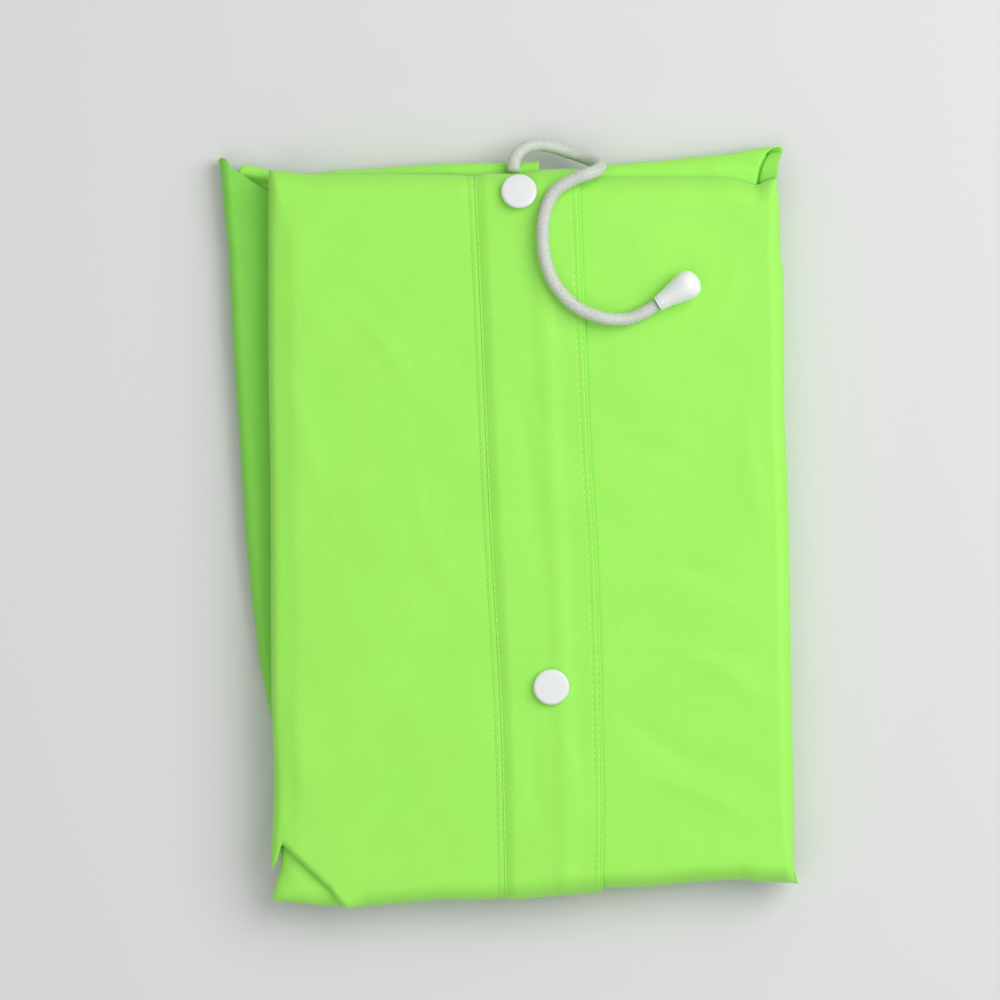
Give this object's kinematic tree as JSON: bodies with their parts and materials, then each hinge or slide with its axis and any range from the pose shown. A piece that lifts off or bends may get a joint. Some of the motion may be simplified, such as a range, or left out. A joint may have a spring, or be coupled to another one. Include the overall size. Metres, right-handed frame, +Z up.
{
  "type": "folded high-visibility raincoat",
  "caption": "High-visibility raincoat folded into a flat packet with its snap-fastened storm flap uppermost and one hood drawstring end lying over it.",
  "frame": {"origin": "under the middle of the folded cloth, on the surface that it lies on", "axes": "+X across the packet to the wearer's left front, +Y along it to the hood end, +Z up out of the fronts"},
  "size_m": [0.2444, 0.3228, 0.0383],
  "materials": {
    "lime_cloth": "coated plain weave with a soft sheen",
    "white_stud": "smooth moulded",
    "braided_cord": "soft round braid with fine silvery threads",
    "cord_end": "milky moulded"
  },
  "bodies": {
    "root": {"folded_layers": "lime_cloth", "front_left": "lime_cloth", "front_right": "lime_cloth", "storm_flap": "lime_cloth", "sleeve_strip": "lime_cloth", "sleeve_ear": "lime_cloth", "hood_back": "lime_cloth", "hood_roll": "lime_cloth", "hood_inner": "lime_cloth", "hem_corner": "lime_cloth", "hem_ear": "lime_cloth", "stud_top": "white_stud", "stud_bottom": "white_stud", "drawstring": "braided_cord", "cord_end": "cord_end"}
  },
  "joints": []
}
